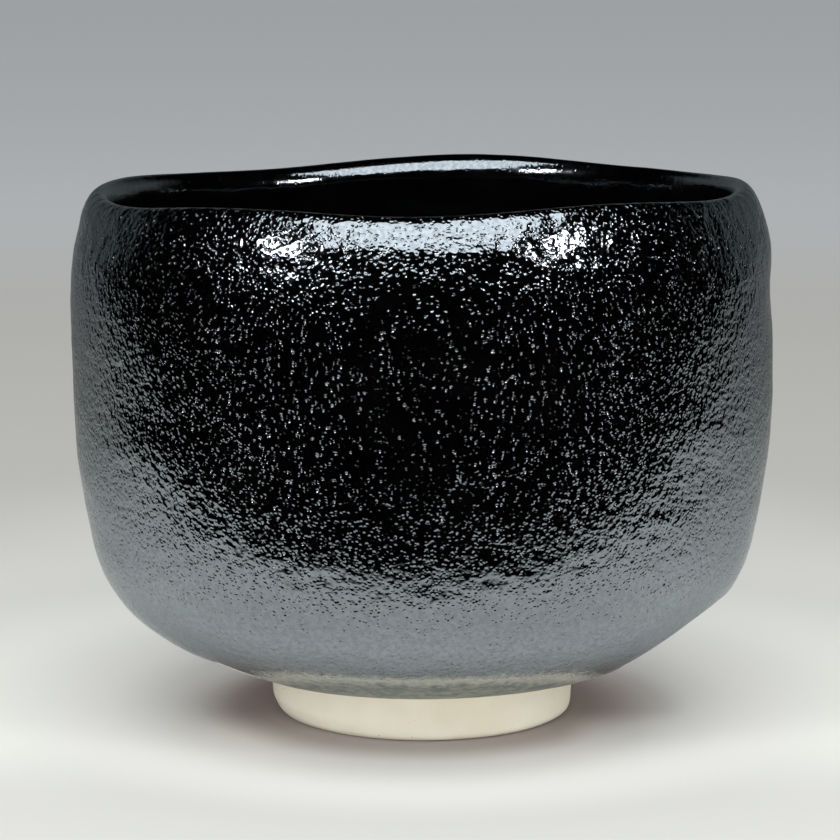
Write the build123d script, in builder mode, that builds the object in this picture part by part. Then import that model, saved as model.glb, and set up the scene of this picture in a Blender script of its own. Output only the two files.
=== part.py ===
from build123d import *
from math import cos, radians, sin
import os

# ---------------------------------------------------------------------------
# Matcha bowl (chawan): hand-formed, thick black glaze over pale clay.
# Millimetres. The origin is the centre of the foot on the table and +Z is up.
# The bowl's best side, its front, faces -Y.
#
# Nodes: clay_body, foot_ring, outer_glaze and inner_glaze. The two coats of
# glaze lie on the clay without a gap and meet along the middle of the lip.
# ---------------------------------------------------------------------------

# Overall sizes of the glazed bowl
rim_height = 85.4          # mean height of the lip's crest
belly_radius = 56.2        # widest part of the wall
glaze_thickness = 0.7      # of each coat, measured level through the wall

# Underside and foot
underside_height = 8.4     # flat underside, which the foot ring is luted to
underside_radius = 30.0    # where the flat underside turns up into the belly
foot_top_radius = 24.8
foot_base_radius = 24.2    # the foot narrows a little towards the table
foot_bore_radius = 17.6
foot_edge_rounding = 1.2   # where the outside of the foot meets the table
foot_bore_rounding = 0.8
boss_radius = 6.5          # low boss that the trimming tool leaves inside the foot
boss_drop = 1.5

# Floor inside
floor_height = 14.6
floor_radius = 26.0
pool_radius = 20.0         # shallow dish where the last of the tea gathers
pool_depth = 1.1

# Level rings of the glazed wall as (radius, height), from the floor to above
# the lip, which is cut through them. The two lists are matched ring by ring,
# and the inside runs on higher than the outside, so that it cuts right through.
outside_rings = [
    (underside_radius, underside_height),
    (38.9, 12.0),
    (45.8, 16.4),
    (50.6, 21.6),
    (53.4, 28.0),
    (55.1, 38.0),
    (55.9, 50.0),
    (belly_radius, 63.0),
    (55.8, 75.0),
    (54.0, 82.5),
    (47.0, 95.0),
]
inside_rings = [
    (floor_radius, floor_height),
    (34.2, 17.0),
    (40.2, 20.6),
    (44.8, 26.0),
    (47.4, 33.0),
    (48.9, 41.0),
    (49.7, 51.0),
    (50.1, 63.0),
    (49.5, 75.0),
    (49.0, 82.5),
    (48.2, 100.0),
]

# The lip's rounding, on the glaze and on the clay under it
glaze_lip_rounding = 2.0
clay_lip_rounding = 1.0

# What the hand left on the bowl: waves round it as
# (waves per turn, height of a wave in mm, direction of the peak in degrees)
rim_waves = [
    (1, 0.70, -25),
    (2, 0.30, 160),
    (3, 0.15, 140),
    (4, 0.15, -65),
    (5, 0.40, 80),
    (6, 0.20, 15),
]
wall_waves = [
    (2, 0.30, 90),
    (3, 0.30, 90),
]
wall_wave_height = 30.0    # the wall's waves fade in from the underside to here

# One flat, pared with a knife low on the belly, at the +X side
flat_direction = -18.0     # degrees round the bowl
flat_slope = 35.0          # degrees from level
flat_radius = 43.5         # a point on the glazed flat
flat_height = 16.8

# The cut along the lip covers the wall between these radii
lip_cut_inner = 40.0
lip_cut_outer = 65.0
lip_cut_height = 20.0

ring_points = 24           # points on each level ring
lip_points = 48            # points on the wavy line of the lip


def directions(count):
    """This many directions in degrees, evenly spaced round the bowl."""
    return [360 * step / count for step in range(count)]


def waves_at(waves, angle):
    """How far the hand's waves move the surface in one direction."""
    return sum(size * cos(radians(count * angle - peak)) for count, size, peak in waves)


def hand_form(rings):
    """A solid through level rings, with the waves of the wall in it."""
    with BuildPart() as form:
        for radius, height in rings:
            rise = (height - underside_height) / (wall_wave_height - underside_height)
            share = min(max(rise, 0), 1)
            points = []
            for angle in directions(ring_points):
                reach = radius + share * waves_at(wall_waves, angle)
                points.append((reach * cos(radians(angle)), reach * sin(radians(angle))))
            with BuildSketch(Plane.XY.offset(height)):
                with BuildLine():
                    Spline(*points, periodic=True)
                make_face()
        loft()
    return form.part


def lip_line(radius, height):
    """The wavy line that the lip follows, at this radius."""
    points = []
    for angle in directions(lip_points):
        x = radius * cos(radians(angle))
        y = radius * sin(radians(angle))
        points.append((x, y, height + waves_at(rim_waves, angle)))
    return Edge.make_spline(points, periodic=True)


def bowl_form(coat, lip_rounding):
    """Wall and floor of the bowl, with a coat of this thickness taken off the glazed size."""
    outside = hand_form([(radius - coat, height) for radius, height in outside_rings])
    inside = hand_form([(radius + coat, height - coat) for radius, height in inside_rings])
    lip_height = rim_height - coat
    lip_cut = Face.make_surface_from_curves(
        lip_line(lip_cut_inner, lip_height),
        lip_line(lip_cut_outer, lip_height),
    )
    flat_normal = Vector(sin(radians(flat_slope)), 0, -cos(radians(flat_slope)))
    flat_normal = flat_normal.rotate(Axis.Z, flat_direction)
    flat_point = Vector(flat_radius, 0, flat_height).rotate(Axis.Z, flat_direction)
    flat_plane = Plane(origin=flat_point - flat_normal * coat, z_dir=flat_normal)
    floor = floor_height - coat
    with BuildPart() as form:
        add(outside)
        split(bisect_by=flat_plane, keep=Keep.BOTTOM)
        add(inside, mode=Mode.SUBTRACT)
        extrude(lip_cut, amount=lip_cut_height, dir=(0, 0, 1), mode=Mode.SUBTRACT)
        lip_edges = form.edges().sort_by(SortBy.LENGTH)[-2:]
        fillet(lip_edges, radius=lip_rounding)
        with BuildSketch(Plane.XZ):
            with BuildLine():
                Line((-pool_radius, floor), (pool_radius, floor))
                SagittaArc((pool_radius, floor), (-pool_radius, floor), pool_depth)
            make_face()
            split(bisect_by=Plane.YZ)
        revolve(axis=Axis.Z, mode=Mode.SUBTRACT)
    return form.part


def middle_form():
    """Everything inside a surface that runs up the middle of the clay wall."""
    rings = []
    for outside, inside in zip(outside_rings, inside_rings):
        rings.append(((outside[0] + inside[0]) / 2, (outside[1] + inside[1]) / 2))
    return hand_form(rings)


os.makedirs("parts", exist_ok=True)

glazed_form = bowl_form(0, glaze_lip_rounding)
bare_form = bowl_form(glaze_thickness, clay_lip_rounding)
core_form = middle_form()

# The fired clay: wall, floor and, inside the foot, the low boss under the floor
with BuildPart() as clay_body:
    add(bare_form)
    with BuildSketch(Plane.XZ):
        with BuildLine():
            Line((-boss_radius, underside_height), (boss_radius, underside_height))
            SagittaArc((boss_radius, underside_height), (-boss_radius, underside_height), boss_drop)
        make_face()
        split(bisect_by=Plane.YZ)
    revolve(axis=Axis.Z)
clay_body.part.label = "clay_body"
export_step(clay_body.part, "parts/clay_body.step")

# The foot, a ring of the same clay under the floor
with BuildPart() as foot_ring:
    with BuildSketch(Plane.XZ):
        with BuildLine():
            Polyline(
                (foot_bore_radius, 0),
                (foot_base_radius, 0),
                (foot_top_radius, underside_height),
                (foot_bore_radius, underside_height),
                close=True,
            )
        make_face()
    revolve(axis=Axis.Z)
    base_edges = foot_ring.edges().group_by(Axis.Z)[0].sort_by(SortBy.RADIUS)
    fillet(base_edges[0], radius=foot_bore_rounding)
    base_edges = foot_ring.edges().group_by(Axis.Z)[0].sort_by(SortBy.RADIUS)
    fillet(base_edges[-1], radius=foot_edge_rounding)
foot_ring.part.label = "foot_ring"
export_step(foot_ring.part, "parts/foot_ring.step")

# The outside coat, from its margin at the underside to the middle of the lip
with BuildPart() as outer_glaze:
    add(glazed_form)
    add(bare_form, mode=Mode.SUBTRACT)
    add(core_form, mode=Mode.SUBTRACT)
outer_glaze.part.label = "outer_glaze"
export_step(outer_glaze.part, "parts/outer_glaze.step")

# The inside coat, from the middle of the lip down over the floor
with BuildPart() as inner_glaze:
    add(glazed_form)
    add(bare_form, mode=Mode.SUBTRACT)
    add(core_form, mode=Mode.INTERSECT)
inner_glaze.part.label = "inner_glaze"
export_step(inner_glaze.part, "parts/inner_glaze.step")
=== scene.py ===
import math

import bpy
import numpy as np
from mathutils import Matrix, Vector
from mathutils.bvhtree import BVHTree


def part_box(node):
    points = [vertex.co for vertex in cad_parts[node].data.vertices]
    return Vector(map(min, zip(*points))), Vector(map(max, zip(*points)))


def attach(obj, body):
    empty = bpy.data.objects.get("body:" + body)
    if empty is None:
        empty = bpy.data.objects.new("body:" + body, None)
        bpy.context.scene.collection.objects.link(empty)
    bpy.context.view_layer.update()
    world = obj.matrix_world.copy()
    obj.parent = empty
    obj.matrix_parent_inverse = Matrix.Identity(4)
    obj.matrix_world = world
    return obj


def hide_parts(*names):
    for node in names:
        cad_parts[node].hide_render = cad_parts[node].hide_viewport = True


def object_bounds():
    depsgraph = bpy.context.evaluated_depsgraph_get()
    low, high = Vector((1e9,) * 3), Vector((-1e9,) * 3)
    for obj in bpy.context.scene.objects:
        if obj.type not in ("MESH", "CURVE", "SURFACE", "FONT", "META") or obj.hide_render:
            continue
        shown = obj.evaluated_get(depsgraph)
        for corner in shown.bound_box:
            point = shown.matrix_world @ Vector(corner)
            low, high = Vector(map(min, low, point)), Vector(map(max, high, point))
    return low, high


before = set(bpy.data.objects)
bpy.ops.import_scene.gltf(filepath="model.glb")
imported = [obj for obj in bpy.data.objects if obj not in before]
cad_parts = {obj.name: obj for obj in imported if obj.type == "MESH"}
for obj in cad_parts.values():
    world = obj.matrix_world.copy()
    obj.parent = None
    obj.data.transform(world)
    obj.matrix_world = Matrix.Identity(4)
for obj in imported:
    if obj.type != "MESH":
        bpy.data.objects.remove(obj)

# ---------------------------------------------------------------------------
# A black-glazed matcha bowl. Metres, in the CAD's frame: the origin is the
# centre of the foot on the table, +Z is up and the front faces -Y.
#
# The CAD nodes give every surface. Rays onto them make fine grids, and the
# grids get what the hand left: soft dents, fine waves, a softer lip, and a
# margin of thin glaze that rises here and there above the bare clay foot.
# The pebbles and pits of the glaze, and its thin olive edge, partly a painted reflection of the foot
# and the shadowed floor, are in its material.
# ---------------------------------------------------------------------------

MM = 0.001
UP = np.array([0, 0, 1])

cad_low, cad_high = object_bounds()
outer_low, outer_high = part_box("outer_glaze")
inner_low, inner_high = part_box("inner_glaze")
foot_low, foot_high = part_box("foot_ring")


# ---------------------------------------------------------------------------
# Camera
# ---------------------------------------------------------------------------

CAMERA_DISTANCE = 0.5222    # from the bowl's axis, level
CAMERA_HEIGHT = 0.1356
CAMERA_PITCH = 9.61         # degrees below level
CAMERA_ASIDE = -0.0004      # the bowl stands a little right of the middle
CAMERA_LENS = 140.4         # mm on a 36 mm sensor

camera_data = bpy.data.cameras.new("camera")
camera_data.lens = CAMERA_LENS
camera_data.sensor_width = 36
camera_data.clip_end = 20
camera = bpy.data.objects.new("camera", camera_data)
camera.location = (CAMERA_ASIDE, -CAMERA_DISTANCE, CAMERA_HEIGHT)
camera.rotation_euler = (math.radians(90 - CAMERA_PITCH), 0, 0)
bpy.context.scene.collection.objects.link(camera)
bpy.context.scene.camera = camera


# ---------------------------------------------------------------------------
# Noise and grids
# ---------------------------------------------------------------------------

NOISE_SLOPES = 4096         # random slopes that the noise picks from, a power of two
HASH_PRIMES = (73856093, 19349663, 83492791)
NOISE_GAIN = 1.6            # brings the noise to about -1 to 1
SMOOTH_THEN_SWELL = (0.5, -0.52)


def smooth(value, start, end):
    """0 before start, 1 after end, smooth between."""
    share = np.clip((value - start) / (end - start), 0, 1)
    return share * share * (3 - 2 * share)


def noise(points, size, seed):
    """Smooth noise from -1 to 1 in space, with features about this size."""
    slopes = np.random.default_rng(seed).normal(size=(NOISE_SLOPES, 3))
    slopes /= np.linalg.norm(slopes, axis=1)[:, None]
    place = points / size
    cell = np.floor(place).astype(np.int64)
    inside = place - cell
    ease = inside ** 3 * (inside * (inside * 6 - 15) + 10)
    total = np.zeros(points.shape[:-1])
    for corner in range(8):
        step = np.array([corner & 1, corner >> 1 & 1, corner >> 2 & 1])
        keys = (cell + step) * np.array(HASH_PRIMES)
        index = (keys[..., 0] ^ keys[..., 1] ^ keys[..., 2]) & (NOISE_SLOPES - 1)
        lean = (slopes[index] * (inside - step)).sum(-1)
        weight = np.prod(np.where(step == 1, ease, 1 - ease), axis=-1)
        total += weight * lean
    return total * NOISE_GAIN


def even_out(grid, passes):
    """Takes the facets off a grid that closes round its second axis, without shrinking it."""
    for _ in range(passes):
        for strength in SMOOTH_THEN_SWELL:
            around = np.roll(grid, 1, 1) + np.roll(grid, -1, 1) - 2 * grid
            along = np.zeros_like(grid)
            along[1:-1] = grid[2:] + grid[:-2] - 2 * grid[1:-1]
            grid = grid + strength * (around + along) / 4
    return grid


def grid_normals(grid):
    """Unit normals of a grid whose second axis runs round the bowl."""
    around = np.roll(grid, -1, 1) - np.roll(grid, 1, 1)
    along = np.gradient(grid, axis=0)
    normals = np.cross(around, along)
    return normals / np.maximum(np.linalg.norm(normals, axis=-1, keepdims=True), 1e-12)


def unit(vectors):
    return vectors / np.linalg.norm(vectors, axis=-1, keepdims=True)


def cad_tree(*names):
    """A tree to cast rays onto, made of CAD nodes."""
    points, faces = [], []
    for name in names:
        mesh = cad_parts[name].data
        mesh.calc_loop_triangles()
        first = len(points)
        points.extend(vertex.co.copy() for vertex in mesh.vertices)
        faces.extend([first + index for index in triangle.vertices] for triangle in mesh.loop_triangles)
    return BVHTree.FromPolygons(points, faces, all_triangles=True)


def ray_to(turn, tilt):
    """A unit vector in this direction round the bowl, tilted up by this much, in radians."""
    level = math.cos(tilt)
    return Vector((math.cos(turn) * level, math.sin(turn) * level, math.sin(tilt)))


def grid_faces(rows, columns, close_rows=False, flip=False):
    """Quads of a grid that closes round its columns."""
    quads = []
    row_count = rows if close_rows else rows - 1
    for row in range(row_count):
        below = row * columns
        above = (row + 1) % rows * columns
        for column in range(columns):
            beside = (column + 1) % columns
            quad = (below + column, below + beside, above + beside, above + column)
            quads.append(quad[::-1] if flip else quad)
    return quads


def make_piece(name, points, faces, normals=None):
    mesh = bpy.data.meshes.new(name)
    mesh.from_pydata([tuple(point) for point in points], [], faces)
    mesh.validate()
    mesh.polygons.foreach_set("use_smooth", [True] * len(mesh.polygons))
    if normals is not None:
        mesh.normals_split_custom_set_from_vertices([tuple(normal) for normal in normals])
    mesh.update()
    piece = bpy.data.objects.new(name, mesh)
    bpy.context.scene.collection.objects.link(piece)
    return piece


# ---------------------------------------------------------------------------
# The glaze's surface: one strip of rows from the margin under the belly, up
# the outside, over the lip, and down the inside to the middle of the floor
# ---------------------------------------------------------------------------

COLUMNS = 560
WALL_ROWS = 134             # from the margin to just under the lip
LIP_ROWS_OUT = 26           # over the outside of the lip, to its crest
LIP_ROWS_IN = 24            # from the crest down the inside of the lip
INSIDE_ROWS = 130           # from there to the middle of the floor
BACK_STEP = 10              # the hidden back of each coat takes every tenth row
FLOOR_HOLE = 0.4 * MM       # the last row before the middle of the floor
STRIP_SMOOTHING = 6         # passes that take the CAD's facets off
SHARE_STEPS = 400           # steps that measure a surface before rows are spread over it
ARC_STEPS = 60              # and steps that measure an arc

LOW_EYE = Vector((0, 0, 0.045))     # the outside is seen from all round, towards this point
HIGH_EYE = Vector((0, 0, 0.150))    # the inside is seen from this point
FAR = 0.2                   # rays to the outside start this far from the eye
FRONT = -math.pi / 2

MARGIN_RADIUS = 30.2 * MM
MARGIN_LIFT = 0.1 * MM      # the strip starts this far over the CAD glaze's lowest point
BELLY_SLOPE = 2.4           # how much wider the belly gets for each step up, just over the margin
LIP_INSET = 1.0 * MM        # the wall under the lip stands this far inside the widest part
WALL_THICKNESS = 6.0 * MM   # about, under the lip

LIP_DEPTH = 5.5 * MM        # the lip's own profile starts this far below its crest outside
LIP_DEPTH_IN = 5.0 * MM     # and this far inside
WALL_HOLD = 2.5 * MM        # how long the profile holds the wall's line, outside
WALL_HOLD_IN = 2.7 * MM     # and inside
CREST_RADIUS = 51.0 * MM
CREST_SMOOTHING = 8         # passes along the line of the crest
CREST_WIDTH_OUT = 1.8 * MM  # how flat the crest is, outside
CREST_WIDTH_IN = 1.7 * MM   # and inside

# Where the glaze stops under the belly, as the height of its edge over the
# CAD margin: direction in degrees, rise, half width in degrees
MARGIN_RISES = [
    (-143, 4.4 * MM, 13),
    (-60, 0.3 * MM, 25),
    (40, 0.8 * MM, 30),
    (130, 0.5 * MM, 20),
]
MARGIN_WAVER = 0.12 * MM
MARGIN_WAVER_SIZE = 9 * MM
MARGIN_WAVER_RING = 30 * MM # the waver is read from the noise round a ring of this radius
MARGIN_WAVER_SEED = 31

# Where the lip sags a little at the back: direction in degrees, drop, half width in degrees
LIP_SAGS = [
    (118, 0.70 * MM, 22),
    (58, 0.55 * MM, 17),
    (22, 0.70 * MM, 20),
]

# Where the crest stands further out: direction in degrees, how far, half width in degrees
CREST_LEANS = [
    (90, 1.1 * MM, 45),
    (180, 0.5 * MM, 25),
]

# Dents and swellings that the hand left: direction in degrees, height, how
# far the surface moves out, half width, half height
HAND_MARKS = [
    (-4, 77 * MM, 0.25 * MM, 8 * MM, 4 * MM),
    (-4, 69 * MM, -0.55 * MM, 12 * MM, 5 * MM),
    (-8, 49 * MM, 0.45 * MM, 16 * MM, 9 * MM),
    (-168, 33 * MM, -0.35 * MM, 12 * MM, 6 * MM),
    (-150, 20 * MM, 0.2 * MM, 12 * MM, 6 * MM),
    (-172, 79 * MM, -0.3 * MM, 10 * MM, 4 * MM),
    (-100, 52 * MM, -0.3 * MM, 20 * MM, 14 * MM),
    (-42, 43 * MM, -0.35 * MM, 12 * MM, 5 * MM),
    (-138, 47 * MM, 0.30 * MM, 12 * MM, 5 * MM),
    (60, 45 * MM, -0.4 * MM, 18 * MM, 14 * MM),
    (120, 60 * MM, 0.35 * MM, 16 * MM, 12 * MM),
]

# Waves all over the surface: how far it moves, their size, their seed, and
# how much wider they are than high
WAVES = [
    (0.20 * MM, 24 * MM, 1, 1),
    (0.09 * MM, 12 * MM, 2, 2.4),
    (0.035 * MM, 5 * MM, 3, 2.4),
    (0.022 * MM, 2.4 * MM, 4, 1),
]

MARGIN_ROWS = 8             # the waves fade out over these rows to the margin
LIP_CALM_ROWS = (6, 30)     # and to half their height from the second of these rows to the first
EDGE_THINNING = 0.22 * MM   # the glaze thins to an edge on the clay
EDGE_ROWS = 5

angles = np.radians(np.arange(COLUMNS) * 360 / COLUMNS)
outward = np.stack([np.cos(angles), np.sin(angles), np.zeros(COLUMNS)], -1)


def angle_gap(direction):
    """Degrees from each column to a direction, -180 to 180."""
    return (np.degrees(angles) - direction + 180) % 360 - 180


def swells_round(marks):
    """The sum at each column of soft swells, given as direction, size and half width."""
    total = np.zeros(COLUMNS)
    for direction, size, width in marks:
        total += size * np.exp(-(angle_gap(direction) / width) ** 2)
    return total


def even_shares(start, end, reach_at, rows):
    """Shares of the turn from start to end whose hits lie evenly along the surface."""
    shares = np.linspace(0, 1, SHARE_STEPS)
    reach = np.array([reach_at(start + (end - start) * share) for share in shares])
    turn = start + (end - start) * shares
    path = np.stack([reach * np.cos(turn), reach * np.sin(turn)], -1)
    lengths = np.concatenate([[0], np.cumsum(np.linalg.norm(np.diff(path, axis=0), axis=1))])
    return np.interp(np.linspace(0, lengths[-1], rows), lengths, shares)


def bezier(shares, start, start_handle, end_handle, end):
    return (
        (1 - shares) ** 3 * start
        + 3 * (1 - shares) ** 2 * shares * start_handle
        + 3 * (1 - shares) * shares ** 2 * end_handle
        + shares ** 3 * end
    )


def arc(start, start_handle, end_handle, end, rows):
    """Points spaced evenly along a Bezier arc for every column at once, without its start."""
    shares = np.linspace(0, 1, ARC_STEPS)
    curve = bezier(shares[:, None, None], start, start_handle, end_handle, end)
    lengths = np.linalg.norm(np.diff(curve, axis=0), axis=-1).mean(1)
    lengths = np.concatenate([[0], np.cumsum(lengths)])
    wanted = np.interp(np.linspace(0, lengths[-1], rows + 1)[1:], lengths, shares)
    return bezier(wanted[:, None, None], start, start_handle, end_handle, end)


def lip_rows(wall, inside, crest):
    """The lip's profile: rows from the outside wall up to the crest, and from there down inside."""
    for _ in range(CREST_SMOOTHING):
        crest = (np.roll(crest, 1) + 2 * crest + np.roll(crest, -1)) / 4
    crest = crest - swells_round(LIP_SAGS)
    reach = CREST_RADIUS + swells_round(CREST_LEANS)
    crest_line = outward * reach[:, None] + UP * crest[:, None]
    up_wall = unit(wall[-1] - wall[-4])
    up_inside = unit(inside[0] - inside[3])
    lip_out = arc(
        wall[-1],
        wall[-1] + up_wall * WALL_HOLD,
        crest_line + outward * CREST_WIDTH_OUT,
        crest_line,
        LIP_ROWS_OUT,
    )
    lip_in = arc(
        inside[0],
        inside[0] + up_inside * WALL_HOLD_IN,
        crest_line - outward * CREST_WIDTH_IN,
        crest_line,
        LIP_ROWS_IN,
    )
    return lip_out, lip_in[::-1][1:]


def glaze_strip():
    """The strip as an array, rows by columns by 3, and the number of its crest row."""
    tree = cad_tree("outer_glaze", "inner_glaze")
    cad_crest_radius = (inner_high.x - inner_low.x) / 2
    margin_height = outer_low.z + MARGIN_LIFT
    wall_radius = outer_high.x - LIP_INSET
    inside_radius = wall_radius - WALL_THICKNESS
    floor_tilt = -math.pi / 2 + FLOOR_HOLE / (HIGH_EYE.z - inner_low.z)

    def hit_from_outside(turn, tilt):
        ray = ray_to(turn, tilt)
        return tree.ray_cast(LOW_EYE + ray * FAR, -ray)[0]

    def hit_from_inside(turn, tilt):
        return tree.ray_cast(HIGH_EYE, ray_to(turn, tilt))[0]

    def crest_height(turn):
        place = ray_to(turn, 0) * cad_crest_radius
        return tree.ray_cast(place + Vector((0, 0, FAR)), Vector((0, 0, -1)))[0].z

    def margin_tilt(rise):
        return math.atan2(margin_height + rise - LOW_EYE.z, MARGIN_RADIUS + BELLY_SLOPE * rise)

    def outside_tilt(crest_z):
        return math.atan2(crest_z - LIP_DEPTH - LOW_EYE.z, wall_radius)

    def inside_tilt(crest_z):
        return math.atan2(crest_z - LIP_DEPTH_IN - HIGH_EYE.z, inside_radius)

    def outside_reach(tilt):
        return (hit_from_outside(FRONT, tilt) - LOW_EYE).length

    def inside_reach(tilt):
        return (hit_from_inside(FRONT, tilt) - HIGH_EYE).length

    crest = np.array([crest_height(turn) for turn in angles])
    mean_crest = float(crest.mean())
    wall_shares = even_shares(margin_tilt(0), outside_tilt(mean_crest), outside_reach, WALL_ROWS)
    inside_shares = even_shares(inside_tilt(mean_crest), floor_tilt, inside_reach, INSIDE_ROWS)
    waver = MARGIN_WAVER * noise(outward * MARGIN_WAVER_RING, MARGIN_WAVER_SIZE, MARGIN_WAVER_SEED)
    margin_rise = swells_round(MARGIN_RISES) + waver

    wall = np.zeros((WALL_ROWS, COLUMNS, 3))
    inside = np.zeros((INSIDE_ROWS, COLUMNS, 3))
    for column, turn in enumerate(angles):
        start, end = margin_tilt(margin_rise[column]), outside_tilt(crest[column])
        for row, share in enumerate(wall_shares):
            wall[row, column] = hit_from_outside(turn, start + (end - start) * share)
        start, end = inside_tilt(crest[column]), floor_tilt
        for row, share in enumerate(inside_shares):
            inside[row, column] = hit_from_inside(turn, start + (end - start) * share)

    lip_out, lip_in = lip_rows(wall, inside, crest)
    strip = np.concatenate([wall, lip_out, lip_in, inside])
    return strip, WALL_ROWS + LIP_ROWS_OUT - 1


def hand_relief(points, normals):
    """How far the surface moves out at each point: hand marks on the outside, waves all over."""
    turn = np.degrees(np.arctan2(points[..., 1], points[..., 0]))
    radius = np.hypot(points[..., 0], points[..., 1])
    relief = np.zeros(points.shape[:-1])
    faces_out = (normals[..., 0] * points[..., 0] + normals[..., 1] * points[..., 1]) > 0
    for direction, height, move, half_width, half_height in HAND_MARKS:
        aside = np.radians((turn - direction + 180) % 360 - 180) * radius
        up = points[..., 2] - height
        relief += move * np.exp(-(aside / half_width) ** 2 - (up / half_height) ** 2) * faces_out
    for move, size, seed, wideness in WAVES:
        relief += move * noise(points * np.array([1, 1, wideness]), size, seed)
    return relief


def finished_strip(strip, crest_row):
    """The strip with the hand's relief and its thin lower edge."""
    rows = np.arange(len(strip))
    normals = grid_normals(strip)
    near_margin = smooth(rows, 0, MARGIN_ROWS)
    near_lip = 0.5 + 0.5 * smooth(np.abs(rows - crest_row), *LIP_CALM_ROWS)
    relief = hand_relief(strip, normals) * (near_margin * near_lip)[:, None]
    strip = strip + relief[..., None] * normals
    thinning = EDGE_THINNING * (1 - smooth(rows, 0, EDGE_ROWS)) ** 2
    return strip - thinning[:, None, None] * normals


strip, crest_row = glaze_strip()
strip = finished_strip(even_out(strip, STRIP_SMOOTHING), crest_row)
normals = grid_normals(strip)


# ---------------------------------------------------------------------------
# The two coats of glaze, which meet along the crest
# ---------------------------------------------------------------------------

OUTER_COAT_DEPTH = 0.35 * MM
INNER_COAT_DEPTH = 0.5 * MM


def coat_piece(name, first, last, depth, middle=False):
    """A closed coat: rows first to last in front, and a hidden back this far behind them."""
    rows = list(range(first, last + 1))
    back_rows = sorted(set(rows[::BACK_STEP]) | {rows[-1]})
    front = strip[rows]
    back = strip[back_rows] - depth * normals[back_rows]
    points = np.concatenate([front.reshape(-1, 3), back.reshape(-1, 3)])
    facing = np.concatenate([normals[rows].reshape(-1, 3), -normals[back_rows].reshape(-1, 3)])
    faces = grid_faces(len(rows), COLUMNS)
    start = len(rows) * COLUMNS
    for quad in grid_faces(len(back_rows), COLUMNS, flip=True):
        faces.append(tuple(start + index for index in quad))
    front_end = (len(rows) - 1) * COLUMNS
    back_end = start + (len(back_rows) - 1) * COLUMNS
    for column in range(COLUMNS):
        beside = (column + 1) % COLUMNS
        faces.append((column, start + column, start + beside, beside))
        if not middle:
            faces.append((front_end + column, front_end + beside, back_end + beside, back_end + column))
    if middle:
        points = np.concatenate([points, [front[-1].mean(0)], [back[-1].mean(0)]])
        facing = np.concatenate([facing, [[0, 0, 1]], [[0, 0, -1]]])
        front_middle, back_middle = len(points) - 2, len(points) - 1
        for column in range(COLUMNS):
            beside = (column + 1) % COLUMNS
            faces.append((front_end + column, front_end + beside, front_middle))
            faces.append((back_end + beside, back_end + column, back_middle))
    return make_piece(name, points, faces, facing)


outer_coat = coat_piece("outer_coat", 0, crest_row, OUTER_COAT_DEPTH)
inner_coat = coat_piece("inner_coat", crest_row, len(strip) - 1, INNER_COAT_DEPTH, middle=True)


# ---------------------------------------------------------------------------
# The clay under the glaze: bare on the underside and where the margin rises
# ---------------------------------------------------------------------------

CLAY_STEP = 2               # the clay takes every second column of the glaze
CLAY_SMOOTHING = 4
UNDERSIDE_ROWS = 70
UNDERSIDE_MIDDLE = 0.3 * MM # the first row round the middle of the underside
UNDERSIDE_EDGE = 29.0 * MM
UNDERSIDE_WAVER = 0.05 * MM
UNDERSIDE_WAVER_SIZE = 6 * MM
UNDERSIDE_WAVER_SEED = 21
UNDER_TABLE = 0.05          # rays to the underside start this far below the table

BELLY_ROWS = 90
BELLY_START = 30.5 * MM
BELLY_INSET = 0.05 * MM     # how far the clay keeps back from its CAD surface under the glaze
LIP_START = 1.5 * MM        # the belly's last row, this far inside the widest part

CLAY_INSIDE_ROWS = 60
CLAY_INSIDE_INSET = 0.3 * MM
CLAY_INSIDE_START = 7.0 * MM
CLAY_FLOOR_HOLE = 0.003     # radians from straight down

CLAY_LIP_ROWS = 14
CLAY_CREST_DROP = 1.4 * MM
CLAY_LIP_HOLD = 1.2 * MM
CLAY_CREST_WIDTH = 1.0 * MM

# Turning marks on the underside: their depth, spacing and how they bunch.
# The foot covers the underside between its bore and its outside
TURNING_DEPTH = 0.07 * MM
TURNING_PITCH = 1.15 * MM
TURNING_BUNCHES = 1.2
TURNING_BUNCH_PITCH = 4 * MM
TURNING_START = 3 * MM      # the marks reach their depth this far from the middle
UNDER_BORE = (16 * MM, 18 * MM)
UNDER_FOOT_EDGE = (24 * MM, 26 * MM)


def clay_underside(tree, turns):
    """Rows of the underside, from its middle out, with the marks of its turning."""
    radii = np.linspace(UNDERSIDE_MIDDLE, UNDERSIDE_EDGE, UNDERSIDE_ROWS)
    rows = np.zeros((len(radii), len(turns), 3))
    for column, turn in enumerate(turns):
        for row, radius in enumerate(radii):
            place = ray_to(turn, 0) * radius - Vector((0, 0, UNDER_TABLE))
            rows[row, column] = tree.ray_cast(place, Vector((0, 0, 1)))[0]
    under_foot = smooth(radii, *UNDER_BORE) * (1 - smooth(radii, *UNDER_FOOT_EDGE))
    bunches = TURNING_BUNCHES * np.sin(radii / TURNING_BUNCH_PITCH)
    turning = TURNING_DEPTH * np.sin(radii / TURNING_PITCH + bunches) * (1 - under_foot)
    rows[..., 2] -= (turning * smooth(radii, 0, TURNING_START))[:, None]
    rows[..., 2] += UNDERSIDE_WAVER * noise(rows, UNDERSIDE_WAVER_SIZE, UNDERSIDE_WAVER_SEED)
    return rows


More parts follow.
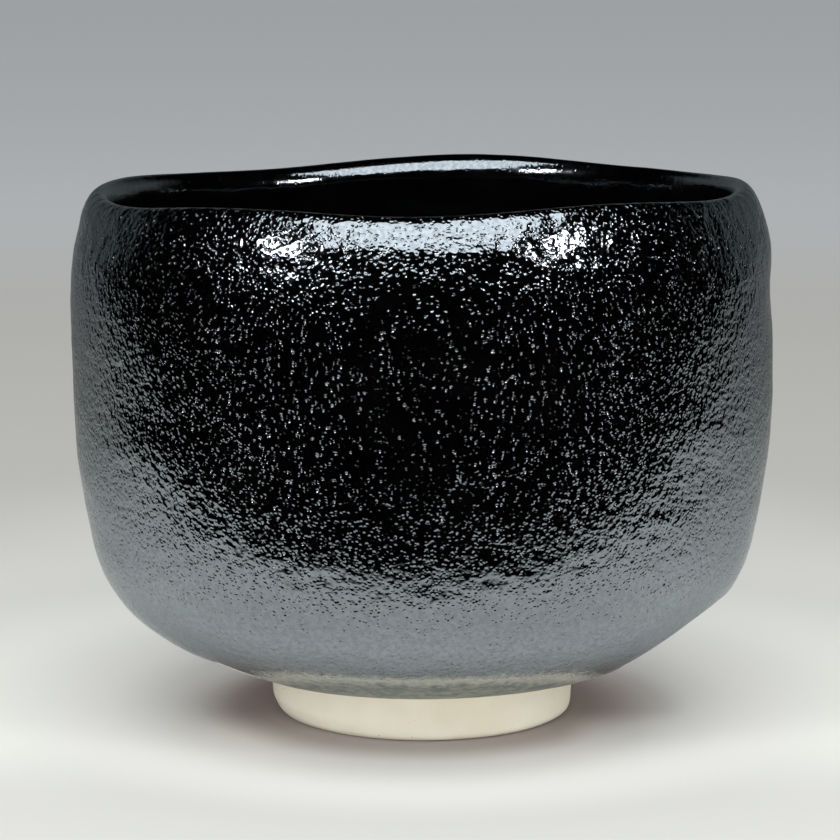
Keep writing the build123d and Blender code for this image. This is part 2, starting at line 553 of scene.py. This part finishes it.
def clay_belly(tree, turns, lip_height):
    """Rows up the outside, from the underside to the lip."""
    low = math.atan2(outer_low.z - LOW_EYE.z, BELLY_START)
    high = math.atan2(lip_height - LOW_EYE.z, outer_high.x - LIP_START)
    rows = np.zeros((BELLY_ROWS, len(turns), 3))
    for column, turn in enumerate(turns):
        for row, tilt in enumerate(np.linspace(low, high, BELLY_ROWS)):
            ray = ray_to(turn, tilt)
            rows[row, column] = tree.ray_cast(LOW_EYE + ray * FAR, -ray)[0]
    rows = even_out(rows, CLAY_SMOOTHING)
    facing = grid_normals(rows)
    return rows + (hand_relief(rows, facing) - BELLY_INSET)[..., None] * facing


def clay_inside(tree, turns, lip_height):
    """Rows down the inside, from the lip to the middle of the floor."""
    high = math.atan2(lip_height - HIGH_EYE.z, outer_high.x - CLAY_INSIDE_START)
    tilts = np.linspace(high, -math.pi / 2 + CLAY_FLOOR_HOLE, CLAY_INSIDE_ROWS)
    rows = np.zeros((CLAY_INSIDE_ROWS, len(turns), 3))
    for column, turn in enumerate(turns):
        for row, tilt in enumerate(tilts):
            rows[row, column] = tree.ray_cast(HIGH_EYE, ray_to(turn, tilt))[0]
    rows = even_out(rows, CLAY_SMOOTHING)
    return rows - CLAY_INSIDE_INSET * grid_normals(rows)


def clay_piece():
    tree = cad_tree("clay_body")
    turns = angles[::CLAY_STEP]
    lip_height = strip[WALL_ROWS - 1, :, 2].mean()
    underside = clay_underside(tree, turns)
    belly = clay_belly(tree, turns, lip_height)
    inside = clay_inside(tree, turns, lip_height)

    crest = strip[crest_row, ::CLAY_STEP] - CLAY_CREST_DROP * UP
    hold = CLAY_LIP_HOLD * UP
    width = CLAY_CREST_WIDTH * outward[::CLAY_STEP]
    lip_out = arc(belly[-1], belly[-1] + hold, crest + width, crest, CLAY_LIP_ROWS)
    lip_in = arc(inside[0], inside[0] + hold, crest - width, crest, CLAY_LIP_ROWS)[::-1][1:]

    grid = np.concatenate([underside, belly, lip_out, lip_in, inside])
    points = np.concatenate([grid.reshape(-1, 3), [underside[0].mean(0)], [inside[-1].mean(0)]])
    under_middle, floor_middle = len(points) - 2, len(points) - 1
    columns = len(turns)
    faces = grid_faces(len(grid), columns)
    last_row = (len(grid) - 1) * columns
    for column in range(columns):
        beside = (column + 1) % columns
        faces.append((beside, column, under_middle))
        faces.append((last_row + column, last_row + beside, floor_middle))
    return make_piece("clay", points, faces)


clay = clay_piece()


# ---------------------------------------------------------------------------
# The foot: the CAD ring's section, with the waver of a hand-cut foot
# ---------------------------------------------------------------------------

FOOT_COLUMNS = 480
FOOT_ROWS = 120
FOOT_BORE = 17.6 * MM
FOOT_SMOOTHING = 6
FOOT_WAVER = (16 * MM, 11)          # size and seed of the noise
FOOT_WAVER_REACH = 0.16 * MM
FOOT_FINE_WAVER = (5 * MM, 12)
FOOT_FINE_WAVER_REACH = 0.05 * MM
FOOT_GRAIN = (1.6 * MM, 13)
FOOT_GRAIN_REACH = 0.02 * MM
FOOT_SMOOTH_BASE = 1.0 * MM # the grain fades out over this height at the base
FOOT_SMOOTH_TOP = 0.6 * MM  # and over this height at the top
FOOT_WEAR = 0.8 * MM        # rounder at the base on the left, where the foot was wiped most
FOOT_WEAR_HEIGHT = 3.2 * MM
FOOT_WEAR_OPPOSITE = 10     # degrees; the wear is strongest straight across from here


def foot_piece():
    tree = cad_tree("foot_ring")
    turns = np.radians(np.arange(FOOT_COLUMNS) * 360 / FOOT_COLUMNS)
    outer_radius = (foot_high.x - foot_low.x) / 2
    middle_radius = (outer_radius + FOOT_BORE) / 2
    middle_height = (foot_low.z + foot_high.z) / 2
    grid = np.zeros((FOOT_ROWS, FOOT_COLUMNS, 3))
    for column, turn in enumerate(turns):
        away = ray_to(turn, 0)
        middle = away * middle_radius + Vector((0, 0, middle_height))
        for row in range(FOOT_ROWS):
            tilt = 2 * math.pi * row / FOOT_ROWS
            ray = away * math.cos(tilt) + Vector((0, 0, math.sin(tilt)))
            grid[row, column] = tree.ray_cast(middle, ray)[0]
    # smooth the CAD's facets round the foot only, so its edges stay crisp
    for _ in range(FOOT_SMOOTHING):
        grid = (np.roll(grid, 1, 1) + 2 * grid + np.roll(grid, -1, 1)) / 4

    radius = np.hypot(grid[..., 0], grid[..., 1])
    height = grid[..., 2]
    flat = np.array([1, 1, 0])
    waver = FOOT_WAVER_REACH * noise(grid * flat, *FOOT_WAVER)
    waver = waver + FOOT_FINE_WAVER_REACH * noise(grid, *FOOT_FINE_WAVER)
    left = (1 - np.cos(turns - math.radians(FOOT_WEAR_OPPOSITE))) / 2
    low = (1 - smooth(height, foot_low.z, foot_low.z + FOOT_WEAR_HEIGHT)) ** 1.5
    outside = smooth(radius, middle_radius, outer_radius)
    reach = radius + outside * (waver - FOOT_WEAR * low * left[None, :] ** 2)
    over_base = smooth(height, foot_low.z, foot_low.z + FOOT_SMOOTH_BASE)
    under_top = 1 - smooth(height, foot_high.z - FOOT_SMOOTH_TOP, foot_high.z)
    grain = FOOT_GRAIN_REACH * noise(grid, *FOOT_GRAIN) * (over_base * under_top)
    reach = reach + grain * np.where(radius > middle_radius, 1, -1)
    grid[..., 0] *= reach / radius
    grid[..., 1] *= reach / radius
    return make_piece("foot", grid.reshape(-1, 3), grid_faces(FOOT_ROWS, FOOT_COLUMNS, close_rows=True))


foot = foot_piece()


# ---------------------------------------------------------------------------
# Materials. Their nodes work in millimetres
# ---------------------------------------------------------------------------

class Shader:
    """Builds a node tree with short calls."""

    def __init__(self, name):
        self.material = bpy.data.materials.new(name)
        self.material.use_nodes = True
        self.tree = self.material.node_tree
        self.tree.nodes.clear()
        self.output = self.tree.nodes.new("ShaderNodeOutputMaterial")
        self.surface = self.tree.nodes.new("ShaderNodeBsdfPrincipled")
        self.link(self.surface, "BSDF", self.output, "Surface")
        coordinates = self.tree.nodes.new("ShaderNodeTexCoord")
        scale = self.tree.nodes.new("ShaderNodeMapping")
        scale.inputs["Scale"].default_value = (1000, 1000, 1000)
        self.link(coordinates, "Object", scale, "Vector")
        self.place = scale.outputs["Vector"]      # millimetres

    def link(self, source, output, target, socket):
        self.tree.links.new(source.outputs[output], target.inputs[socket])

    def plug(self, value, socket):
        if isinstance(value, bpy.types.NodeSocket):
            self.tree.links.new(value, socket)
        else:
            socket.default_value = value

    def set(self, **sockets):
        """Plugs values into the surface's sockets: Base_Color is its Base Color."""
        for name, value in sockets.items():
            self.plug(value, self.surface.inputs[name.replace("_", " ")])

    def noise(self, size, detail=2.0, roughness=0.5):
        node = self.tree.nodes.new("ShaderNodeTexNoise")
        node.inputs["Scale"].default_value = 1 / size
        node.inputs["Detail"].default_value = detail
        node.inputs["Roughness"].default_value = roughness
        self.tree.links.new(self.place, node.inputs["Vector"])
        return node.outputs["Fac"]

    def cells(self, size, output="Distance", place=None):
        node = self.tree.nodes.new("ShaderNodeTexVoronoi")
        node.inputs["Scale"].default_value = 1 / size
        self.tree.links.new(place or self.place, node.inputs["Vector"])
        return node.outputs[output]

    def warped(self, size, amount):
        """The place in millimetres, pushed along each axis by up to this amount."""
        node = self.tree.nodes.new("ShaderNodeTexNoise")
        node.inputs["Scale"].default_value = 1 / size
        self.tree.links.new(self.place, node.inputs["Vector"])
        push = self.tree.nodes.new("ShaderNodeVectorMath")
        push.operation = "MULTIPLY_ADD"
        self.link(node, "Color", push, 0)
        push.inputs[1].default_value = (amount, amount, amount)
        self.tree.links.new(self.place, push.inputs[2])
        return push.outputs["Vector"]

    def math(self, operation, first, second=0.0):
        node = self.tree.nodes.new("ShaderNodeMath")
        node.operation = operation
        self.plug(first, node.inputs[0])
        self.plug(second, node.inputs[1])
        return node.outputs[0]

    def times(self, first, *others):
        for other in others:
            first = self.math("MULTIPLY", first, other)
        return first

    def plus(self, first, *others):
        for other in others:
            first = self.math("ADD", first, other)
        return first

    def minus(self, first, second):
        return self.math("SUBTRACT", first, second)

    def ramp(self, value, low, high, to_low=0.0, to_high=1.0):
        """A smooth step: to_low where the value is under low, to_high where it is over high."""
        node = self.tree.nodes.new("ShaderNodeMapRange")
        node.interpolation_type = "SMOOTHSTEP"
        self.plug(value, node.inputs["Value"])
        node.inputs["From Min"].default_value = low
        node.inputs["From Max"].default_value = high
        node.inputs["To Min"].default_value = to_low
        node.inputs["To Max"].default_value = to_high
        return node.outputs["Result"]

    def mix(self, share, first, second):
        node = self.tree.nodes.new("ShaderNodeMix")
        node.data_type = "RGBA"
        self.plug(share, node.inputs["Factor"])
        self.plug(first, node.inputs["A"])
        self.plug(second, node.inputs["B"])
        return node.outputs["Result"]

    def axis(self, name):
        node = self.tree.nodes.new("ShaderNodeSeparateXYZ")
        self.tree.links.new(self.place, node.inputs[0])
        return node.outputs[name]

    def from_axis(self):
        """Distance from the bowl's axis."""
        x, y = self.axis("X"), self.axis("Y")
        return self.math("SQRT", self.plus(self.times(x, x), self.times(y, y)))

    def facing_up(self):
        """1 where the surface lies level and faces up, 0 on an upright wall."""
        coordinates = self.tree.nodes.new("ShaderNodeTexCoord")
        node = self.tree.nodes.new("ShaderNodeSeparateXYZ")
        self.link(coordinates, "Normal", node, 0)
        return node.outputs["Z"]

    def bump(self, height, distance, under=None):
        """A bump this many metres high, on top of the bump under it."""
        node = self.tree.nodes.new("ShaderNodeBump")
        node.inputs["Strength"].default_value = 1.0
        node.inputs["Distance"].default_value = distance
        self.plug(height, node.inputs["Height"])
        if under is not None:
            self.tree.links.new(under, node.inputs["Normal"])
        return node.outputs["Normal"]


def thin_margin_and_painted_reflection(shader, colour, glassy, roughness):
    """Where the glaze runs thin over the foot: mottled olive and matt, under a buff line. The olive
    band and the buff line are partly the thin glaze's own colour and partly a painted reflection of the
    foot and the shadowed floor.
    """
    olive_dark = (0.10, 0.128, 0.118, 1)
    olive_pale = (0.235, 0.25, 0.215, 1)
    buff = (0.375, 0.37, 0.325, 1)
    dark = (0.05, 0.065, 0.062, 1)
    matt_glassy = 1.5
    mottle = shader.noise(1.3, 3, 0.62)
    lower_behind = shader.ramp(shader.axis("Y"), -44, -20, 0.0, 4.8)
    edge = shader.plus(shader.axis("Z"), shader.times(mottle, 2.4), lower_behind)
    thin = shader.ramp(edge, 15.6, 17.3, 1, 0)
    line = shader.times(thin, shader.ramp(edge, 14.4, 16.0))
    # the olive band and the buff line over it: partly the thin glaze's own colour, partly a painted
    # reflection of the cream foot and the shadowed floor
    olive = shader.mix(shader.ramp(mottle, 0.38, 0.64), olive_dark, olive_pale)
    colour = shader.mix(thin, colour, olive)
    colour = shader.mix(line, colour, buff)
    # darker again at the lowest edge: a painted reflection of the shadowed floor under it
    colour = shader.mix(shader.ramp(edge, 10.2, 11.4, 1, 0), colour, dark)
    thick = shader.minus(1.0, thin)
    glassy = shader.plus(matt_glassy, shader.times(shader.minus(glassy, matt_glassy), thick))
    roughness = shader.plus(roughness, shader.times(thin, 0.3))
    return colour, glassy, roughness


def pits(shader, size, place, share):
    """Round pits of random depth, one to a cell of about this size."""
    hollow = shader.ramp(shader.cells(size, place=place), 0.02, 0.44, 1, 0)
    depth = shader.times(shader.cells(size, "Color", place), share)
    return shader.times(hollow, depth)


def pebbled(shader, pebble):
    """The glaze's skin: swells that grow towards the lip, orange peel, and pits of two sizes."""
    height = shader.axis("Z")
    over_margin = shader.ramp(height, 10, 15)
    to_sides = shader.ramp(shader.math("ABSOLUTE", shader.axis("X")), 20, 46, 1, 1.8)
    under_lip = shader.ramp(height, 60, 74, 1, 0.75)
    near_lip = shader.ramp(height, 68, 78, 1, 2.2)
    swells = shader.times(shader.noise(2.4, 0), near_lip)
    skin = shader.bump(swells, pebble * 0.12 * MM)
    peel = shader.times(shader.noise(0.9, 0.3), over_margin, to_sides, under_lip)
    skin = shader.bump(peel, pebble * 0.10 * MM, under=skin)
    crooked = shader.warped(0.6, 0.3)
    skin = shader.bump(pits(shader, 0.8, crooked, over_margin), pebble * -0.14 * MM, under=skin)
    return shader.bump(pits(shader, 0.66, crooked, over_margin), pebble * -0.12 * MM, under=skin)


def glaze_material(name, pebble, outside):
    """Thick black glass over clay: pebbled and pitted outside, calmer inside."""
    shader = Shader(name)
    black = (0.0005, 0.0005, 0.0006, 1)
    charcoal = (0.0015, 0.0014, 0.0014, 1)
    rust = (0.16, 0.035, 0.010, 1)
    colour = shader.mix(shader.ramp(shader.noise(11, 3), 0.45, 0.75), black, charcoal)
    colour = shader.mix(shader.ramp(shader.cells(13), 0.016, 0.030, 1, 0), colour, rust)
    patches = shader.noise(0.75, 2, 0.6)
    sheen = shader.noise(3.0, 2)
    if outside:
        glassy = shader.ramp(patches, 0.3, 0.7, 3.35, 4.15)
        roughness = shader.ramp(sheen, 0.3, 0.7, 0.05, 0.09)
        colour, glassy, roughness = thin_margin_and_painted_reflection(shader, colour, glassy, roughness)
    else:
        # glassier on the lip and the floor than on the upright wall
        lying = shader.ramp(shader.facing_up(), 0.14, 0.32)
        glassy = shader.plus(1.8, shader.times(shader.ramp(patches, 0.3, 0.7, 1.15, 1.80), lying))
        roughness = shader.ramp(sheen, 0.3, 0.7, 0.08, 0.13)
    shader.set(Base_Color=colour, Roughness=roughness, IOR=glassy, Normal=pebbled(shader, pebble))
    shader.set(Specular_Tint=(0.835, 0.925, 1.0, 1))
    return shader.material


def clay_material(name):
    """Bare fired clay: cream, matt and fine, with specks and faint tool marks."""
    shader = Shader(name)
    pale = (0.865, 0.83, 0.705, 1)
    cream = (0.81, 0.77, 0.625, 1)
    brown = (0.40, 0.31, 0.20, 1)
    colour = shader.mix(shader.ramp(shader.noise(9, 3), 0.35, 0.7), pale, cream)
    specks = shader.ramp(shader.cells(1.7), 0.03, 0.10, 1, 0)
    shown = shader.ramp(shader.noise(3.5, 1), 0.52, 0.62)
    colour = shader.mix(shader.times(specks, shown), colour, brown)
    roughness = shader.ramp(shader.noise(2.0, 2), 0.3, 0.7, 0.62, 0.80)
    grain = shader.bump(shader.noise(0.35, 3, 0.6), 0.03 * MM)
    wander = shader.times(shader.noise(6, 1), 1.2)
    rings = shader.math("SINE", shader.times(shader.plus(shader.from_axis(), wander), 5.2))
    turned = shader.bump(rings, 0.02 * MM, under=grain)
    shader.set(Base_Color=colour, Roughness=roughness, IOR=1.45, Normal=turned)
    return shader.material


def dress(piece, look):
    piece.data.materials.clear()
    piece.data.materials.append(look)


clay_look = clay_material("bare_clay")
dress(outer_coat, glaze_material("black_glaze_outside", 1.0, True))
dress(inner_coat, glaze_material("black_glaze_inside", 0.18, False))
dress(foot, clay_look)
dress(clay, clay_look)


# ---------------------------------------------------------------------------
# Studio sheets
# ---------------------------------------------------------------------------

FLOOR_RADIUS = 6.0
FLOOR_HEIGHT = -0.05 * MM       # just under the foot, so the two surfaces don't mix
BACKDROP_RADIUS = 5.8
BACKDROP_HEIGHT = 4.0
DARK_ROOM_RADIUS = 5.7
DARK_ROOM_HEIGHT = 1.5 * MM
DIM_WALL_RADIUS = 3.0
DIM_WALL_FOOT = 2.0 * MM        # it starts just over the dark room's sheet
DIM_WALL_HEIGHT = 2.0


def sheet(name, points, faces, look):
    """A flat or bent sheet that belongs to the studio."""
    mesh = bpy.data.meshes.new(name)
    mesh.from_pydata(points, [], faces)
    piece = bpy.data.objects.new(name, mesh)
    bpy.context.scene.collection.objects.link(piece)
    dress(piece, look)
    return piece


def circle(radius, height, columns=96):
    turns = [2 * math.pi * step / columns for step in range(columns)]
    return [(radius * math.cos(turn), radius * math.sin(turn), height) for turn in turns]


def disc(name, radius, height, look):
    points = circle(radius, height)
    return sheet(name, points, [list(range(len(points)))], look)


def ring_wall(name, radius, low, high, look):
    bottom, top = circle(radius, low), circle(radius, high)
    return sheet(name, bottom + top, grid_faces(2, len(bottom), flip=True), look)


def only_in_reflections(piece):
    piece.visible_camera = False
    piece.visible_diffuse = False
    piece.visible_shadow = False
    piece.visible_transmission = False


def floor_material():
    """Pale paper with painted light and shade: brightest round the bowl, a painted pool of light,
    greyer further off, and a painted warm shadow under the belly.
    """
    shader = Shader("floor_paper_painted_light_and_shade")
    x, y, radius = shader.axis("X"), shader.axis("Y"), shader.from_axis()
    # these colours paint light and shade on the paper: the first two are painted shadow round the foot,
    # the next three paint the light round the bowl, brightest close to it, and the last two the light's
    # painted fall-off further away
    under = (0.265, 0.214, 0.205, 1)
    contact_shadow = (0.435, 0.395, 0.388, 1)
    painted_light_close = (0.755, 0.742, 0.705, 1)
    front = (0.57, 0.565, 0.53, 1)
    beside = (0.72, 0.717, 0.665, 1)
    middle = (0.405, 0.397, 0.37, 1)
    far = (0.458, 0.468, 0.470, 1)
    not_front = shader.times(shader.ramp(y, -60, -15), shader.ramp(radius, 72, 112, 1, 0))
    near = shader.mix(not_front, front, beside)
    colour = shader.mix(shader.ramp(radius, 44, 70), painted_light_close, near)
    # painted contact shadow round the foot, fainter on its right
    contact_shadow_mask = shader.times(shader.ramp(radius, 26, 37, 1, 0), shader.ramp(x, 21, 29, 1, 0.2))
    colour = shader.mix(contact_shadow_mask, colour, contact_shadow)
    # a painted shadow patch beside the foot on its right, under the belly
    right = shader.times(shader.ramp(radius, 38, 45, 1, 0), shader.ramp(x, 12, 32))
    right = shader.times(right, shader.ramp(y, -14, -2), 0.38)
    colour = shader.mix(right, colour, contact_shadow)
    # painted warm shade under the belly
    shade = shader.times(shader.ramp(radius, 25, 42, 1, 0), shader.ramp(y, -24, -2))
    colour = shader.mix(shade, colour, under)
    # the paper's painted light falls off away from the bowl
    colour = shader.mix(shader.ramp(radius, 95, 225), colour, middle)
    colour = shader.mix(shader.ramp(radius, 420, 850), colour, far)
    shader.set(Base_Color=colour, Roughness=0.9, Specular_IOR_Level=0.1)
    shader.set(Normal=shader.bump(shader.noise(0.8, 2), 0.02 * MM))
    return shader.material


def backdrop_material():
    shader = Shader("backdrop_paper")
    dark = (0.385, 0.405, 0.415, 1)
    pale = (0.405, 0.425, 0.435, 1)
    shader.set(Base_Color=shader.mix(shader.noise(4, 2), dark, pale), Roughness=0.9)
    return shader.material


def dark_room_material():
    """A painted reflection: a black sheet on the table that only the glaze sees, dark in front, dimmed
    further off, clear near the bowl.
    """
    shader = Shader("painted_dark_reflection")
    x, y, radius = shader.axis("X"), shader.axis("Y"), shader.from_axis()
    # the dark part's edge runs level across the front and bends back at both sides
    bend = 400.0
    steepness = shader.ramp(x, -120, 120, 1.75, 1.50)
    reach = shader.math("SQRT", shader.plus(shader.times(x, x), bend ** 2))
    edge = shader.plus(shader.times(shader.minus(reach, bend), steepness), -95.0)
    front = shader.ramp(shader.minus(edge, y), -8, 16)
    away = shader.ramp(radius, 120, 420, 0.0, 0.5)
    clear = shader.tree.nodes.new("ShaderNodeBsdfTransparent")
    black = shader.tree.nodes.new("ShaderNodeBsdfDiffuse")
    black.inputs["Color"].default_value = (0, 0, 0, 1)
    blend = shader.tree.nodes.new("ShaderNodeMixShader")
    shader.plug(shader.math("MAXIMUM", front, away), blend.inputs["Fac"])
    shader.link(clear, "BSDF", blend, 1)
    shader.link(black, "BSDF", blend, 2)
    shader.link(blend, "Shader", shader.output, "Surface")
    shader.tree.nodes.remove(shader.surface)
    return shader.material


def dim_wall_material():
    """The far side of the room, behind the bowl and fading upwards, as a dim grey glow."""
    shader = Shader("dim_wall")
    behind = shader.ramp(shader.axis("Y"), 1100, 1900)
    low = shader.ramp(shader.axis("Z"), 700, 1800, 1, 0)
    glow = shader.tree.nodes.new("ShaderNodeEmission")
    glow.inputs["Color"].default_value = (0.90, 1.0, 1.0, 1)
    shader.plug(shader.times(behind, low, 0.13), glow.inputs["Strength"])
    shader.link(glow, "Emission", shader.output, "Surface")
    shader.tree.nodes.remove(shader.surface)
    return shader.material


disc("floor", FLOOR_RADIUS, FLOOR_HEIGHT, floor_material())

backdrop = ring_wall("backdrop", BACKDROP_RADIUS, 0, BACKDROP_HEIGHT, backdrop_material())
backdrop.visible_glossy = False
backdrop.visible_diffuse = False
backdrop.visible_shadow = False

# a black sheet seen only in the glaze: a painted reflection of a dark room
painted_dark_reflection = disc("painted_dark_reflection", DARK_ROOM_RADIUS, DARK_ROOM_HEIGHT, dark_room_material())
only_in_reflections(painted_dark_reflection)

dim_wall = ring_wall("dim_wall", DIM_WALL_RADIUS, DIM_WALL_FOOT, DIM_WALL_HEIGHT, dim_wall_material())
only_in_reflections(dim_wall)


# ---------------------------------------------------------------------------
# Lights
# ---------------------------------------------------------------------------

def from_rim(turn, tilt, distance):
    """A place at this direction and elevation in degrees, seen from the middle of the rim."""
    away = ray_to(math.radians(turn), math.radians(tilt))
    return Vector((0, 0, cad_high.z)) + away * distance


def softbox(name, place, aim, size, power, colour):
    light = bpy.data.lights.new(name, "AREA")
    light.shape = "RECTANGLE"
    light.size, light.size_y = size
    light.energy = power
    light.color = colour
    box = bpy.data.objects.new(name, light)
    box.location = place
    box.rotation_euler = (Vector(aim) - Vector(place)).to_track_quat("-Z", "Y").to_euler()
    bpy.context.scene.collection.objects.link(box)
    return box


rim_middle = (0, 0, cad_high.z)
foot_middle = (0, 0, 0.01)
cool_white = (0.945, 0.98, 1.0)
rosy_white = (1.0, 0.96, 0.98)
warm_white = (1.0, 0.98, 0.94)
softbox("overhead_bank", from_rim(-90, 61, 0.9), rim_middle, (1.0, 0.87), 6.5, cool_white)
softbox("lamp_left", from_rim(-137, 25, 1.1), rim_middle, (0.24, 0.22), 2.2, rosy_white)
softbox("lamp_right", from_rim(-39.5, 24.5, 1.1), rim_middle, (0.22, 0.22), 2.0, rosy_white)
fill = softbox("low_fill", (0.08, -0.95, 0.17), foot_middle, (0.9, 0.28), 3.05, warm_white)
fill.visible_glossy = False

world = bpy.data.worlds.new("room")
bpy.context.scene.world = world
world.use_nodes = True
world.node_tree.nodes["Background"].inputs["Color"].default_value = (0.95, 0.97, 1.0, 1)
world.node_tree.nodes["Background"].inputs["Strength"].default_value = 0.8
world.cycles_visibility.glossy = False

scene = bpy.context.scene
scene.view_settings.view_transform = "Standard"
scene.view_settings.look = "None"


# ---------------------------------------------------------------------------
# What each piece is, and the end
# ---------------------------------------------------------------------------

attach(outer_coat, "root")
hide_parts("outer_glaze")
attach(inner_coat, "root")
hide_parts("inner_glaze")
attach(clay, "root")
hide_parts("clay_body")
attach(foot, "root")
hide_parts("foot_ring")
